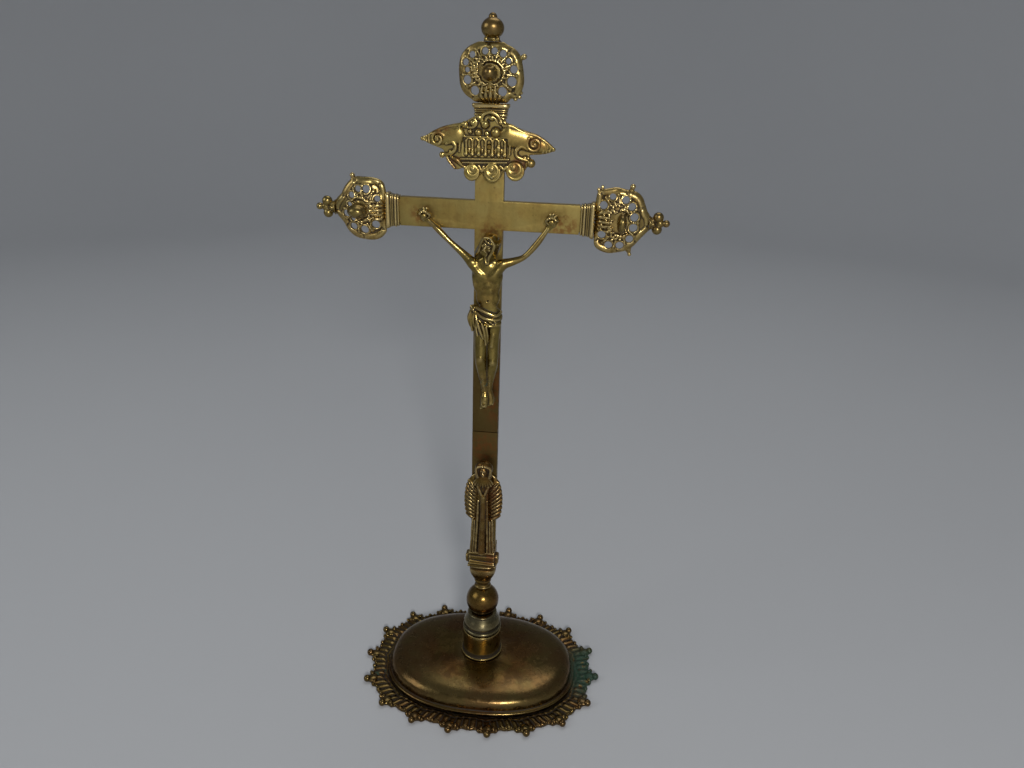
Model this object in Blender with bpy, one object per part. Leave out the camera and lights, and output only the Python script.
"""A standing brass altar cross: a lobed oval foot, a turned stem, a flat cross and cast figures.

Metres, +Z up, the front faces -Y, and the origin is at the middle of the foot's resting plane.
Every length below is in millimetres and is turned into metres once, in add_solid, add_cutter and place.
"""

from math import atan2, cos, hypot, pi, radians, sin

import bmesh
import bpy
from mathutils import Euler, Matrix, Vector

MM = 0.001
GAP = 0.3  # play between pieces that touch

# The foot: a flange with ball-tipped points, and a raised oval dome on it
OVAL_POWER = 2.3
POINT_COUNT = 18
POINT_OVAL = (67.5, 50.0)  # half axes of the line through the balls' centres
BALL_RADIUS = 2.3
FLANGE_THICK = 2.2
FLANGE_OPENING = (49.5, 33.3)
SCALLOP_DEPTH = 4.4
DOME_WALL = 1.5
DOME_LIP = 4.5
DOME_TOP = 15.0
DOME_RINGS = (  # half axes and height of the outer surface, from the lip to the flat top
    (54.5, 38.3, FLANGE_THICK + GAP),
    (54.5, 38.3, 3.5),
    (53.3, 37.1, 4.4),
    (52.4, 36.2, 5.4),
    (51.4, 35.2, 8.6),
    (49.2, 33.0, 11.0),
    (45.6, 29.4, 12.9),
    (40.5, 24.8, 14.0),
    (28.0, 18.5, 14.7),
    (12.0, 12.0, DOME_TOP),
)

# The stem, bored for one tie rod
ROD_RADIUS = 2.0
BORE_RADIUS = ROD_RADIUS + GAP
ROD_BOTTOM = 4.5
WASHER_THICK = 1.2
WASHER_RADIUS = 7.0
NUT_THICK = 4.0
NUT_RADIUS = 4.6
BOSS_RADIUS = 10.7
BOSS_TOP = 31.0
COLLAR_TOP = 43.0
KNOP_RADIUS = 9.1
KNOP_HEIGHT = 50.6
TAPER_TOP = 76.7
PLINTH_BOTTOM = TAPER_TOP + GAP
PLINTH_TOP = 87.0
PLINTH_HALF = (9.6, 7.4)
PLINTH_CHAMFER = 2.6
TENON_DEPTH = 4.0

# The flat bars
BAR_WIDTH = 13.0
BAR_THICK = 4.0
JOINT_HEIGHT = 157.5  # where the cross is spliced to the stem bar
SPLICE_LAP = 10.0
CROSS_HEIGHT = 267.0  # middle of the crossing
BAR_REACH = 44.8  # from the crossing to the hidden end of each bar, inside its sleeve
BAR_NECK = 5.4  # half the width of that hidden end

# The openwork ends, measured outwards from the crossing
SLEEVE_START = 41.4
SLEEVE_END = 47.7
SLEEVE_HALF = (7.0, 3.3)
ROSETTE_MIDDLE = 59.9
ROSETTE_HALF = (14.4, 11.8)  # across the arm, along the arm
ROSETTE_POWER = 2.35
ROSETTE_THICK = 2.2
ROSETTE_CROWN = 3.4
HOLE_COUNT = 12
HOLE_RADIUS = 1.65
HOLE_RING = (10.9, 8.3)
TANG_HALF = 5.0
STUD_RADIUS = 4.1
STUD_SHANK = 1.0
TIP_REACH = 83.0  # top of the upper finial

# The figures and the name plate
NAIL_HANDS = (29.0, 266.2)
NAIL_FEET_HEIGHT = 176.0
NAIL_RADIUS = 0.6
NAIL_HEAD = 1.3
PLATE_FRONT = -BAR_THICK / 2 - GAP  # back of whatever is fixed to the front of a bar
PIN_RADIUS = 1.0
PLAQUE_PIN_HEIGHT = 297.0
SHRINE_PIN_HEIGHT = 112.0

BRASS = {
    "brass_plate": ((0.46, 0.32, 0.10), 0.34),
    "brass_cast": ((0.42, 0.29, 0.10), 0.38),
    "brass_turned": ((0.44, 0.29, 0.08), 0.28),
    "brass_foot": ((0.30, 0.19, 0.07), 0.36),
    "iron": ((0.16, 0.14, 0.13), 0.60),
}


# ---------------------------------------------------------------- scene helpers


def clear_scene():
    """Removes every object, such as the startup cube."""
    for old in list(bpy.data.objects):
        bpy.data.objects.remove(old, do_unlink=True)


def metal(name):
    """The metal of that name, made once."""
    made = bpy.data.materials.get(name)
    if made is None:
        colour, roughness = BRASS[name]
        made = bpy.data.materials.new(name)
        made.use_nodes = True
        shader = made.node_tree.nodes["Principled BSDF"]
        shader.inputs["Base Color"].default_value = (*colour, 1.0)
        shader.inputs["Metallic"].default_value = 1.0
        shader.inputs["Roughness"].default_value = roughness
    return made


def mesh_object(name, bm):
    """A linked object in metres from a bmesh in millimetres."""
    bmesh.ops.recalc_face_normals(bm, faces=bm.faces)
    bm.transform(Matrix.Scale(MM, 4))
    mesh = bpy.data.meshes.new(name)
    bm.to_mesh(mesh)
    bm.free()
    made = bpy.data.objects.new(name, mesh)
    bpy.context.scene.collection.objects.link(made)
    return made


def add_solid(name, bm, material, smooth_angle=None):
    """One piece of the cross."""
    made = mesh_object(name, bm)
    made.data.materials.append(metal(material))
    if smooth_angle:
        made.data.shade_smooth()
        made.data.set_sharp_from_angle(angle=radians(smooth_angle))
    return made


def add_cutter(name, bm):
    """A hidden shape that a Boolean subtracts or adds."""
    made = mesh_object(name, bm)
    made.hide_render = True
    made.display_type = "WIRE"
    return made


def combine(target, other, operation="DIFFERENCE"):
    """Adds an exact Boolean to the target."""
    step = target.modifiers.new(other.name, "BOOLEAN")
    step.operation = operation
    step.object = other
    step.solver = "EXACT"


def place(made, parent, height=0.0):
    """Sets a piece in its parent's frame, that far up the parent's Z."""
    made.parent = parent
    made.location = (0, 0, height * MM)


# ---------------------------------------------------------------- shape helpers


def oval(half_x, half_y, count, power=OVAL_POWER):
    """Points and outward normals round a superellipse, at equal steps along its edge, starting at +X."""
    fine = 1440
    ring = []
    for i in range(fine + 1):
        c, s = cos(2 * pi * i / fine), sin(2 * pi * i / fine)
        x = half_x * abs(c) ** (2 / power) * (1 if c >= 0 else -1)
        y = half_y * abs(s) ** (2 / power) * (1 if s >= 0 else -1)
        ring.append(Vector((x, y)))
    run = [0.0]
    for a, b in zip(ring, ring[1:]):
        run.append(run[-1] + (b - a).length)
    points, at = [], 0
    for k in range(count):
        wanted = run[-1] * k / count
        while run[at + 1] < wanted:
            at += 1
        share = (wanted - run[at]) / (run[at + 1] - run[at])
        points.append(ring[at].lerp(ring[at + 1], share))
    normals = []
    for p in points:
        slope = [
            abs(v / half) ** (power - 1) / half * (1 if v >= 0 else -1)
            for v, half in zip(p, (half_x, half_y))
        ]
        normals.append(Vector(slope).normalized())
    return points, normals


def ring_of(bm, points, height):
    """A ring of vertices at one height."""
    return [bm.verts.new((p[0], p[1], height)) for p in points]


def bridge(bm, ring_a, ring_b):
    """Quads between two rings of the same length."""
    n = len(ring_a)
    for i in range(n):
        j = (i + 1) % n
        bm.faces.new((ring_a[i], ring_a[j], ring_b[j], ring_b[i]))


def join_rings(bm, rings):
    """Bridges each ring to the next, and the last to the first."""
    for a, b in zip(rings, rings[1:] + rings[:1]):
        bridge(bm, a, b)


def turned(profile, segments=24):
    """A piece turned about Z from (radius, height) points, closed from the last back to the first."""
    bm = bmesh.new()
    rings = [ring_of(bm, circle_points(0, 0, radius, segments), height) for radius, height in profile]
    join_rings(bm, rings)
    return bm


def upright(y, z):
    """Stands a shape that was drawn in the XY plane up at that Y and Z, with its own +Z towards the front."""
    return Matrix.Translation((0, y, z)) @ Matrix.Rotation(pi / 2, 4, "X")


def rod(radius, bottom, top, segments=16):
    """A plain round bar along Z."""
    bm = bmesh.new()
    bmesh.ops.create_cone(
        bm, cap_ends=True, segments=segments, radius1=radius, radius2=radius, depth=top - bottom,
        matrix=Matrix.Translation((0, 0, (top + bottom) / 2)),
    )
    return bm


def through_rod(radius, x, z, front, back, segments=12):
    """A plain round bar along Y."""
    bm = rod(radius, front, back, segments)
    bm.transform(Matrix.Translation((x, 0, z)) @ Matrix.Rotation(-pi / 2, 4, "X"))
    return bm


def merged(*parts):
    """Several bmeshes in one."""
    whole = bmesh.new()
    for part in parts:
        mesh = bpy.data.meshes.new("part")
        part.to_mesh(mesh)
        part.free()
        whole.from_mesh(mesh)
        bpy.data.meshes.remove(mesh)
    return whole


def box(low, high):
    """A box between two corners."""
    bm = bmesh.new()
    size = [b - a for a, b in zip(low, high)]
    middle = [(a + b) / 2 for a, b in zip(low, high)]
    bmesh.ops.create_cube(bm, size=1.0, matrix=Matrix.Translation(middle) @ Matrix.Diagonal((*size, 1)))
    return bm


def pierced_plate(outline, holes, thick):
    """A plate in the XY plane, from Z 0 up, with round or other holes."""
    bm = bmesh.new()
    edges = []
    for loop in [outline, *holes]:
        verts = ring_of(bm, loop, 0.0)
        edges += [bm.edges.new((verts[i], verts[(i + 1) % len(verts)])) for i in range(len(verts))]
    bmesh.ops.triangle_fill(bm, edges=edges, use_beauty=True, normal=(0, 0, 1))
    grown = bmesh.ops.extrude_face_region(bm, geom=list(bm.faces))
    top = [v for v in grown["geom"] if isinstance(v, bmesh.types.BMVert)]
    bmesh.ops.translate(bm, verts=top, vec=(0, 0, thick))
    return bm


def circle_points(x, y, radius, count):
    """Points of a round hole."""
    turns = [2 * pi * i / count for i in range(count)]
    return [(x + radius * cos(turn), y + radius * sin(turn)) for turn in turns]


def ball(middle, radius, segments=8, rings=5):
    """A sphere."""
    bm = bmesh.new()
    bmesh.ops.create_uvsphere(
        bm, u_segments=segments, v_segments=rings, radius=radius, matrix=Matrix.Translation(middle)
    )
    return bm


def limb(start, end, radius_start, radius_end, flat=1.0):
    """A rounded, tapered stretch of a cast figure: the hull of two balls, flattened front to back."""
    bm = bmesh.new()
    for point, radius in ((start, radius_start), (end, radius_end)):
        shape = Matrix.Translation(point) @ Matrix.Diagonal((radius, radius * flat, radius, 1))
        bmesh.ops.create_icosphere(bm, subdivisions=2, radius=1.0, matrix=shape)
    hull = bmesh.ops.convex_hull(bm, input=list(bm.verts))
    inside = {v for v in hull["geom_interior"] if isinstance(v, bmesh.types.BMVert)}
    bmesh.ops.delete(bm, geom=list(inside), context="VERTS")
    return bm


def casting(name, blobs, material, voxel, keep):
    """Blobs run together into one closed skin, then simplified to that share of its faces."""
    made = add_solid(name, merged(*blobs), material)
    skin = made.modifiers.new("skin", "REMESH")
    skin.mode = "VOXEL"
    skin.voxel_size = voxel * MM
    skin.use_smooth_shade = True
    lean = made.modifiers.new("lean", "DECIMATE")
    lean.ratio = keep
    return made


# ---------------------------------------------------------------- foot


def make_foot_flange():
    """The flat flange: scallops between ball-tipped points, open in the middle."""
    steps = 6
    points, normals = oval(*POINT_OVAL, POINT_COUNT * steps)
    outline = []
    for i, (p, n) in enumerate(zip(points, normals)):
        between = (i % steps) / steps
        inwards = 0.6 + SCALLOP_DEPTH * sin(pi * between) ** 0.55
        outline.append(p - n * inwards)
    opening = oval(*FLANGE_OPENING, 44)[0]
    flange = add_solid("foot_flange", pierced_plate(outline, [opening], FLANGE_THICK), "brass_foot")
    balls = [ball((p.x, p.y, BALL_RADIUS + 0.1), BALL_RADIUS) for p in points[::steps]]
    combine(flange, add_cutter("flange_balls", merged(*balls)), "UNION")


def make_foot_dome():
    """The raised oval shell, open below and bored in the middle for the tie rod."""
    segments = 44
    bore = circle_points(0, 0, BORE_RADIUS, segments)
    bm = bmesh.new()
    rings = []
    for half_x, half_y, height in DOME_RINGS:
        rings.append(ring_of(bm, oval(half_x, half_y, segments)[0], height))
    rings.append(ring_of(bm, bore, DOME_TOP))
    rings.append(ring_of(bm, bore, DOME_TOP - DOME_WALL))
    for half_x, half_y, height in reversed(DOME_RINGS[4:9]):
        inner = oval(half_x - DOME_WALL, half_y - DOME_WALL, segments)[0]
        rings.append(ring_of(bm, inner, height - DOME_WALL))
    half_x, half_y, height = DOME_RINGS[0]
    rings.append(ring_of(bm, oval(half_x - DOME_LIP, half_y - DOME_LIP, segments)[0], height))
    join_rings(bm, rings)
    add_solid("foot_dome", bm, "brass_foot", 40)


def make_tie():
    """The rod that draws the stem down on the foot, with its washer and hexagon nut inside the dome."""
    under_dome = DOME_TOP - DOME_WALL - GAP
    washer_bottom = under_dome - WASHER_THICK
    nut_top = washer_bottom - GAP
    add_solid("tie_rod", rod(ROD_RADIUS, ROD_BOTTOM, PLINTH_TOP - TENON_DEPTH - 1.0), "iron", 40)
    ring = [(BORE_RADIUS, under_dome), (WASHER_RADIUS, under_dome)]
    ring += [(WASHER_RADIUS, washer_bottom), (BORE_RADIUS, washer_bottom)]
    add_solid("tie_washer", turned(ring, 24), "iron", 40)
    hexagon = [(BORE_RADIUS, nut_top), (NUT_RADIUS, nut_top)]
    hexagon += [(NUT_RADIUS, nut_top - NUT_THICK), (BORE_RADIUS, nut_top - NUT_THICK)]
    add_solid("tie_nut", turned(hexagon, 6), "iron")


# ---------------------------------------------------------------- stem


def make_stem_turnings():
    """The socket, its bell collar and the ball knop, turned and bored."""
    base = DOME_TOP + GAP
    socket = [(BORE_RADIUS, base), (11.4, base), (11.3, base + 0.9), (BOSS_RADIUS, base + 1.6)]
    socket += [(BOSS_RADIUS, BOSS_TOP - 0.4), (BOSS_RADIUS - 0.4, BOSS_TOP), (BORE_RADIUS, BOSS_TOP)]
    add_solid("stem_socket", turned(socket), "brass_turned", 40)

    low = BOSS_TOP + GAP
    bell = [(BORE_RADIUS, low), (10.8, low), (11.0, low + 1.2), (10.7, low + 2.4), (9.6, low + 4.4)]
    bell += [(8.6, low + 7.4), (8.0, low + 9.8), (7.2, COLLAR_TOP), (BORE_RADIUS, COLLAR_TOP)]
    add_solid("stem_collar", turned(bell), "brass_turned", 40)

    rings = 8
    bottom, top = COLLAR_TOP + GAP - KNOP_HEIGHT, 0.91 * KNOP_RADIUS
    knop = [(BORE_RADIUS, COLLAR_TOP + GAP)]
    for i in range(rings + 1):
        rise = bottom + (top - bottom) * (1 - cos(pi * i / rings)) / 2
        knop.append(((KNOP_RADIUS**2 - rise**2) ** 0.5, KNOP_HEIGHT + rise))
    knop.append((BORE_RADIUS, KNOP_HEIGHT + top))
    add_solid("stem_knop", turned(knop), "brass_turned", 40)


def make_stem_taper():
    """The reversed bell under the plinth, oblong in plan and bored."""
    low = KNOP_HEIGHT + 0.91 * KNOP_RADIUS + GAP
    rise = TAPER_TOP - low
    profile = ((4.2, 0), (4.4, 0.1), (4.0, 0.18), (5.4, 0.34), (6.9, 0.58), (7.4, 0.78), (7.0, 0.84))
    profile += ((7.9, 1),)
    segments = 24
    bm = bmesh.new()
    rings = [ring_of(bm, circle_points(0, 0, BORE_RADIUS, segments), low)]
    for half, share in profile:
        rings.append(ring_of(bm, oval(half, half * 0.86, segments, 2 + share)[0], low + rise * share))
    rings.append(ring_of(bm, circle_points(0, 0, BORE_RADIUS, segments), TAPER_TOP))
    join_rings(bm, rings)
    add_solid("stem_taper", bm, "brass_cast", 35)


def make_stem_plinth():
    """The block under the small figure: canted corners, two mouldings, a rod bore and a mortise."""
    tall = PLINTH_TOP - PLINTH_BOTTOM
    steps = ((-0.6, 0), (0, 0.1), (0, 0.22), (-0.9, 0.32), (-0.9, 0.68), (0, 0.78), (0, 0.92), (-0.4, 1))
    bm = bmesh.new()
    rings = []
    for grow, share in steps:
        half_x, half_y = PLINTH_HALF[0] + grow, PLINTH_HALF[1] + grow
        quarter = [(half_x, half_y - PLINTH_CHAMFER), (half_x - PLINTH_CHAMFER, half_y)]
        right = [(x, -y) for x, y in reversed(quarter)] + quarter
        canted = right + [(-x, y) for x, y in reversed(right)]
        rings.append(ring_of(bm, canted, PLINTH_BOTTOM + tall * share))
    bm.faces.new(rings[0])
    bm.faces.new(rings[-1])
    for a, b in zip(rings, rings[1:]):
        bridge(bm, a, b)
    plinth = add_solid("stem_plinth", bm, "brass_cast")
    bore = rod(BORE_RADIUS, PLINTH_BOTTOM - 5, PLINTH_TOP - TENON_DEPTH)
    combine(plinth, add_cutter("plinth_bore", bore))
    half_x, half_y = BAR_WIDTH / 2 - 1.5 + GAP, BAR_THICK / 2 + GAP
    mortise = box((-half_x, -half_y, PLINTH_TOP - TENON_DEPTH - 0.3), (half_x, half_y, PLINTH_TOP + 5))
    combine(plinth, add_cutter("plinth_mortise", mortise))


def make_stem_bar():
    """The flat bar from the plinth to the splice, tenoned below and halved above."""
    half_x, half_y = BAR_WIDTH / 2, BAR_THICK / 2
    low, high = PLINTH_TOP + GAP, JOINT_HEIGHT - GAP
    bar = add_solid("stem_bar", box((-half_x, -half_y, low), (half_x, half_y, high)), "brass_plate")
    tenon = box((-half_x + 1.5, -half_y, PLINTH_TOP - TENON_DEPTH), (half_x - 1.5, half_y, low + 4))
    combine(bar, add_cutter("stem_tenon", tenon), "UNION")
    tongue = box((-half_x + 1.5, GAP / 2, high - 4), (half_x - 1.5, half_y, high + SPLICE_LAP))
    combine(bar, add_cutter("stem_tongue", tongue), "UNION")
    hole = through_rod(PIN_RADIUS + GAP, 0, SHRINE_PIN_HEIGHT, -9, 9)
    combine(bar, add_cutter("stem_pin_hole", hole))


# ---------------------------------------------------------------- cross


def make_cross_plate():
    """The upright and the arms in one flat plate, drilled for the nails and the name plate's pin."""
    w, neck, start, reach = BAR_WIDTH / 2, BAR_NECK, SLEEVE_START - GAP, BAR_REACH
    low = JOINT_HEIGHT - CROSS_HEIGHT
    outline = [(w, low), (w, -w), (start, -w), (start, -neck), (reach, -neck), (reach, neck)]
    outline += [(start, neck), (start, w), (w, w), (w, start), (neck, start), (neck, reach)]
    outline += [(-x, z) for x, z in reversed(outline)]
    hand_x, hand_z = NAIL_HANDS
    drilled = [
        (hand_x, hand_z, NAIL_RADIUS), (-hand_x, hand_z, NAIL_RADIUS),
        (0, NAIL_FEET_HEIGHT, NAIL_RADIUS), (0, PLAQUE_PIN_HEIGHT, PIN_RADIUS),
    ]
    holes = [circle_points(x, z - CROSS_HEIGHT, r + GAP, 12) for x, z, r in drilled]
    bm = pierced_plate(outline, holes, BAR_THICK)
    bm.transform(upright(BAR_THICK / 2, CROSS_HEIGHT))
    plate = add_solid("cross_plate", bm, "brass_plate")
    side, roof = w - 1.5 + GAP, JOINT_HEIGHT + SPLICE_LAP + GAP
    combine(plate, add_cutter("splice_pocket", box((-side, -GAP / 2, JOINT_HEIGHT - 5), (side, 5, roof))))


def make_sleeve(name, frame):
    """The reeded sleeve that covers an arm's end and the rosette's tang."""
    across, deep = SLEEVE_HALF
    reeds = 3
    long = SLEEVE_END - SLEEVE_START
    bm = bmesh.new()
    rings = []
    for i in range(2 * reeds + 1):
        grow = 0.0 if i % 2 else -0.55
        at = SLEEVE_START + long * i / (2 * reeds)
        x, y = across + grow + 0.4 * i / (2 * reeds), deep + grow
        rings.append(ring_of(bm, [(x, -y), (x, y), (-x, y), (-x, -y)], at))
    half_y = BAR_THICK / 2
    # The bore is stepped: the arm's end fits the wide part, the thin tang fits the rest.
    for x, y, at in (
        (TANG_HALF + GAP, ROSETTE_THICK / 2 + GAP, SLEEVE_END),
        (TANG_HALF + GAP, ROSETTE_THICK / 2 + GAP, BAR_REACH + GAP),
        (BAR_NECK + GAP, half_y + GAP, BAR_REACH + GAP),
        (BAR_NECK + GAP, half_y + GAP, SLEEVE_START),
    ):
        rings.append(ring_of(bm, [(x, -y), (x, y), (-x, y), (-x, -y)], at))
    join_rings(bm, rings)
    place(add_solid("sleeve_" + name, bm, "brass_cast"), frame)


def rosette_edge(count):
    """The rosette's outline round its own middle, with a small cusp at each corner."""
    edge = []
    for p in oval(*ROSETTE_HALF, count, ROSETTE_POWER)[0]:
        turn = atan2(abs(p.y) / ROSETTE_HALF[1], abs(p.x) / ROSETTE_HALF[0])
        cusp = 1.1 * max(0.0, 1 - abs(turn - pi / 4) / 0.12)
        edge.append(p * (1 + cusp / p.length))
    return edge


def make_rosette(name, frame):
    """The crowned openwork rosette with its ring of round holes, and the tang that the sleeve holds."""
    holes = []
    for k in range(HOLE_COUNT):
        turn = 2 * pi * (k + 0.5) / HOLE_COUNT
        holes.append(circle_points(HOLE_RING[0] * cos(turn), HOLE_RING[1] * sin(turn), HOLE_RADIUS, 8))
    holes.append(circle_points(0, 0, STUD_SHANK + GAP, 10))
    bm = pierced_plate(rosette_edge(48), holes, ROSETTE_THICK)
    for v in bm.verts:
        spread = hypot(v.co.x / ROSETTE_HALF[0], v.co.y / ROSETTE_HALF[1])
        v.co.z += ROSETTE_CROWN * max(0.0, 1 - spread**2)
    bm.transform(upright(ROSETTE_THICK / 2, ROSETTE_MIDDLE))
    plate = add_solid("rosette_" + name, bm, "brass_cast")
    place(plate, frame)
    half_y = ROSETTE_THICK / 2 - 0.05
    low, high = BAR_REACH + 2 * GAP, ROSETTE_MIDDLE - ROSETTE_HALF[1] + 1.2
    tang = add_cutter("tang_" + name, box((-TANG_HALF, -half_y, low), (TANG_HALF, half_y, high)))
    place(tang, frame)
    combine(plate, tang, "UNION")


def make_stud(name, frame):
    """The acorn stud in the middle of a rosette: a turned head, its shank, and the riveted end behind."""
    face = ROSETTE_CROWN + ROSETTE_THICK / 2 + GAP
    behind = ROSETTE_CROWN - ROSETTE_THICK / 2 - GAP
    profile = [(0.05, face + 5.0), (1.4, face + 4.6), (2.8, face + 3.7), (3.8, face + 2.4)]
    profile += [(STUD_RADIUS, face + 1.0), (STUD_RADIUS - 0.3, face), (STUD_SHANK, face), (STUD_SHANK, behind)]
    profile += [(2.0, behind), (1.7, behind - 1.1), (0.05, behind - 1.5)]
    bm = turned(profile, 14)
    bm.transform(upright(0, ROSETTE_MIDDLE))
    place(add_solid("stud_" + name, bm, "brass_turned", 40), frame)


def make_trefoil(name, frame):
    """The cluster of balls at the end of an arm."""
    start = ROSETTE_MIDDLE + ROSETTE_HALF[1] + GAP
    blobs = [limb((0, 0, start + 1.0), (0, 0, start + 3.0), 1.0, 1.8)]
    blobs += [ball((side * 2.7, 0, start + 4.4), 2.4, 12, 8) for side in (-1, 1)]
    blobs.append(ball((0, 0, start + 4.6), 2.0, 12, 8))
    blobs.append(limb((0, 0, start + 5.0), (0, 0, start + 8.0), 1.2, 1.4))
    place(casting("finial_" + name, blobs, "brass_cast", 0.35, 0.08), frame)


def make_ball_finial(frame):
    """The turned ball and button above the upper rosette."""
    start = ROSETTE_MIDDLE + ROSETTE_HALF[1] + GAP
    middle, radius = start + 5.2, 4.5
    profile = [(0.05, start), (3.1, start), (2.3, start + 0.8)]
    for i in range(1, 8):
        turn = pi * (0.14 + 0.72 * i / 8)
        profile.append((radius * sin(turn), middle - radius * cos(turn)))
    button, top = 1.9, TIP_REACH - 1.9
    profile += [(button * sin(turn), top - button * cos(turn)) for turn in (0.8, 1.4, 2.0, 2.6)]
    profile.append((0.05, TIP_REACH))
    place(add_solid("finial_top", turned(profile, 18), "brass_turned", 40), frame)


def make_ends():
    """The three openwork ends, each in a frame at the crossing whose Z points out along its arm."""
    for name, tilt in (("top", 0), ("right", 90), ("left", -90)):
        frame = bpy.data.objects.new("frame_" + name, None)
        bpy.context.scene.collection.objects.link(frame)
        frame.location = (0, 0, CROSS_HEIGHT * MM)
        frame.rotation_euler = Euler((0, radians(tilt), 0))
        make_sleeve(name, frame)
        make_rosette(name, frame)
        make_stud(name, frame)
        if name == "top":
            make_ball_finial(frame)
        else:
            make_trefoil(name, frame)


# ---------------------------------------------------------------- figures


def make_corpus():
    """The figure on the cross: arms raised to the nails, head bowed, a loin cloth, and feet together."""
    blobs = [
        limb((0, -5.6, 241), (0, -5.6, 234), 6.4, 5.4, 0.62),
        limb((0, -5.4, 233), (0, -5.2, 226), 5.3, 5.6, 0.62),
        limb((0, -5.2, 223), (0.2, -5.4, 218), 7.0, 6.3, 0.60),
        limb((-7.2, -4.6, 223), (-7.0, -4.4, 215), 1.6, 1.3),
        limb((0, -5.8, 246), (-0.6, -7.4, 251), 2.4, 2.3),
        limb((-0.6, -7.8, 256.8), (-0.9, -8.8, 252.2), 4.0, 3.1),
        limb((-0.4, -6.2, 255.5), (-0.5, -5.0, 248.5), 4.4, 3.6, 0.8),
    ]
    for side in (-1, 1):
        shoulder, elbow = (side * 6.2, -5.6, 243.6), (side * 17.0, -5.4, 252.6)
        wrist, hand = (side * 27.4, -4.2, 264.2), (side * 29.4, -4.0, 267.2)
        blobs.append(limb((side * 2.0, -5.6, 241.5), shoulder, 5.0, 2.6, 0.7))
        blobs.append(limb(shoulder, elbow, 2.3, 1.6))
        blobs.append(limb(elbow, wrist, 1.6, 1.15))
        blobs.append(limb(wrist, hand, 1.4, 1.75, 0.8))
        hip, knee = (side * 3.1, -5.4, 217), (side * 2.5, -7.2, 198)
        ankle, toe = (side * 1.5, -4.6, 181), (side * 1.1, -5.4, 174.6)
        blobs.append(limb(hip, knee, 3.5, 2.7))
        blobs.append(limb(knee, ankle, 2.7, 1.6))
        blobs.append(limb(ankle, toe, 1.7, 1.35))
    figure = casting("corpus", blobs, "brass_cast", 0.6, 0.055)
    hand_x, hand_z = NAIL_HANDS
    for label, x, z in (("right", hand_x, hand_z), ("left", -hand_x, hand_z), ("feet", 0, NAIL_FEET_HEIGHT)):
        hole = through_rod(NAIL_RADIUS + GAP, x, z, -20, 5, 8)
        combine(figure, add_cutter("nail_hole_" + label, hole))
    combine(figure, add_cutter("corpus_back", box((-40, PLATE_FRONT, 160), (40, 10, 280))))


def make_nails():
    """Three domed nails through the figure and the plate."""
    hand_x, hand_z = NAIL_HANDS
    places = (
        ("right", hand_x, hand_z, -6.0), ("left", -hand_x, hand_z, -6.0), ("feet", 0, NAIL_FEET_HEIGHT, -7.4),
    )
    for label, x, z, under in places:
        profile = [(0.05, BAR_THICK / 2), (NAIL_RADIUS, BAR_THICK / 2), (NAIL_RADIUS, under)]
        profile += [(NAIL_HEAD, under), (NAIL_HEAD, under - 0.4), (0.7, under - 0.9), (0.05, under - 1.05)]
        bm = turned(profile, 10)
        bm.transform(Matrix.Translation((x, 0, z)) @ Matrix.Rotation(-pi / 2, 4, "X"))
        add_solid("nail_" + label, bm, "brass_turned")


def make_plaque():
    """The scrolled name plate above the arms: a tablet between winged ends, lobes below and a crest above."""
    depth = 0.55
    middle = PLATE_FRONT - 1.6
    blobs = [box((-9.8, PLATE_FRONT - 3.2, 290.4), (9.8, PLATE_FRONT, 300.8))]
    blobs.append(limb((0, middle, 302.4), (0, middle, 304.4), 6.4, 3.4, depth))
    for side in (-1, 1):
        blobs.append(limb((side * 8.5, middle, 298.8), (side * 18.6, middle, 299.8), 6.2, 4.0, depth))
        blobs.append(limb((side * 18.6, middle, 299.8), (side * 28.6, middle, 298.3), 4.0, 0.9, depth))
        blobs.append(limb((side * 9.0, middle, 296.0), (side * 14.0, middle, 288.6), 5.0, 4.2, depth))
        blobs.append(limb((side * 14.0, middle, 292.5), (side * 19.8, middle, 291.4), 2.6, 2.1, 0.8))
        blobs.append(limb((side * 4.5, middle, 292.0), (side * 4.7, middle, 286.6), 4.6, 4.3, depth))
    plaque = casting("name_plaque", blobs, "brass_cast", 0.6, 0.06)
    combine(plaque, add_cutter("plaque_back", box((-40, PLATE_FRONT, 270), (40, 10, 308))))
    pin_hole = through_rod(PIN_RADIUS + GAP, 0, PLAQUE_PIN_HEIGHT, PLATE_FRONT - 2.0, 5)
    combine(plaque, add_cutter("plaque_pin_hole", pin_hole))


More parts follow.
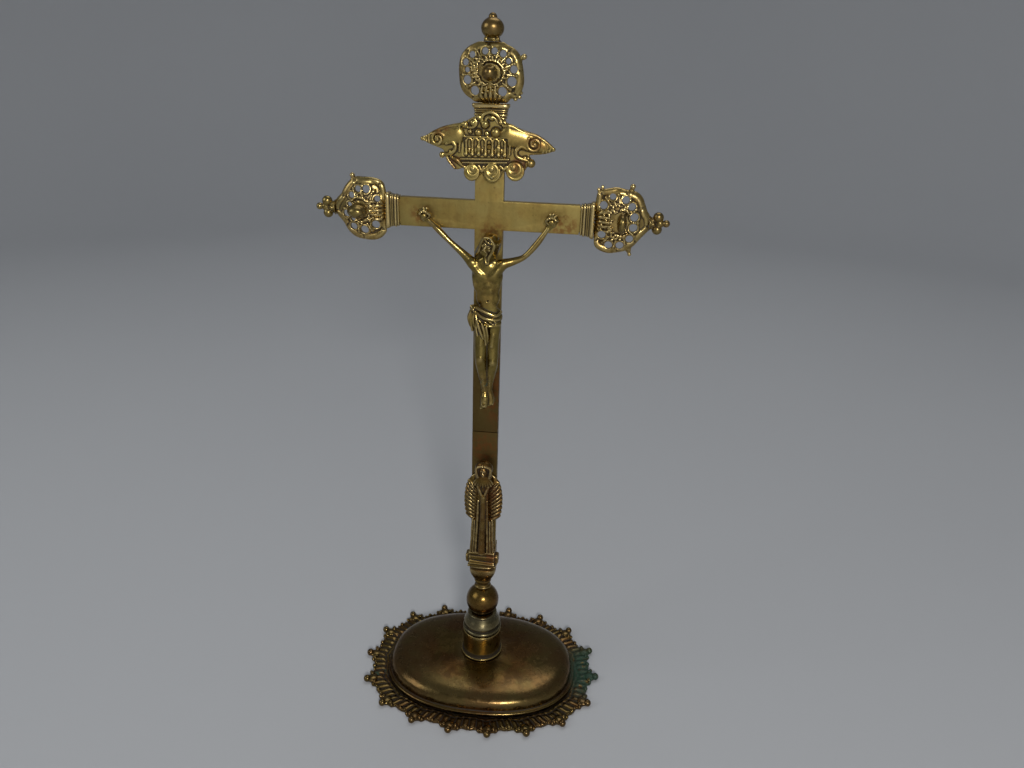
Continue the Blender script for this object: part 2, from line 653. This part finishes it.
def make_shrine():
    """The small veiled figure on the plinth, with a fan of rays behind it."""
    blobs = [
        limb((0, -5.4, 137.6), (0, -5.2, 134.6), 3.4, 2.6, 0.9),
        limb((0, -3.9, 140.2), (0, -3.9, 138.0), 3.4, 4.0, 0.45),
        limb((0, -5.2, 131.5), (0, -5.4, 124.0), 4.6, 4.9, 0.6),
        limb((0, -6.6, 124.5), (0, -7.0, 121.0), 1.8, 1.5),
        limb((0, -5.2, 122.0), (0, -5.2, 104.0), 4.7, 4.2, 0.62),
        limb((0, -5.2, 104.0), (0, -5.2, 93.5), 4.4, 5.8, 0.62),
        box((-5.9, -7.4, 87.4), (5.9, PLATE_FRONT, 92.5)),
    ]
    figure = casting("shrine_figure", blobs, "brass_cast", 0.6, 0.08)
    back = PLATE_FRONT - 1.5
    combine(figure, add_cutter("shrine_back", box((-30, back - GAP, 94.0), (30, 10, 160))))
    combine(figure, add_cutter("shrine_foot_back", box((-30, PLATE_FRONT, 80), (30, 10, 100))))
    combine(figure, add_cutter("shrine_foot", box((-30, -30, 70), (30, 10, PLINTH_TOP + GAP))))

    rays = 11
    outline = []
    for k in range(2 * rays + 1):
        turn = radians(-128 + 256 * k / (2 * rays)) + pi / 2
        reach = 1.0 if k % 2 else 0.93
        outline.append((10.4 * reach * cos(turn), 14.6 * reach * sin(turn) + 119.6))
    bm = pierced_plate(outline, [circle_points(0, SHRINE_PIN_HEIGHT, PIN_RADIUS + GAP, 12)], 1.5)
    bm.transform(upright(PLATE_FRONT, 0))
    add_solid("shrine_rays", bm, "brass_cast")
    pin_hole = through_rod(PIN_RADIUS + GAP, 0, SHRINE_PIN_HEIGHT, -6.6, 5)
    combine(figure, add_cutter("shrine_pin_hole", pin_hole))


def make_pins():
    """The two headed pins that hold the name plate and the small figure from behind."""
    places = (("pin_plaque", PLAQUE_PIN_HEIGHT, -4.0), ("pin_shrine", SHRINE_PIN_HEIGHT, -6.3))
    for name, height, front in places:
        back = BAR_THICK / 2 + GAP
        profile = [(0.05, front), (PIN_RADIUS, front), (PIN_RADIUS, back), (2.1, back)]
        profile += [(2.1, back + 0.3), (1.2, back + 0.9), (0.05, back + 1.1)]
        bm = turned(profile, 12)
        bm.transform(Matrix.Translation((0, 0, height)) @ Matrix.Rotation(-pi / 2, 4, "X"))
        add_solid(name, bm, "brass_turned", 40)


def main():
    clear_scene()
    make_foot_flange()
    make_foot_dome()
    make_tie()
    make_stem_turnings()
    make_stem_taper()
    make_stem_plinth()
    make_stem_bar()
    make_cross_plate()
    make_ends()
    make_corpus()
    make_nails()
    make_plaque()
    make_shrine()
    make_pins()


main()
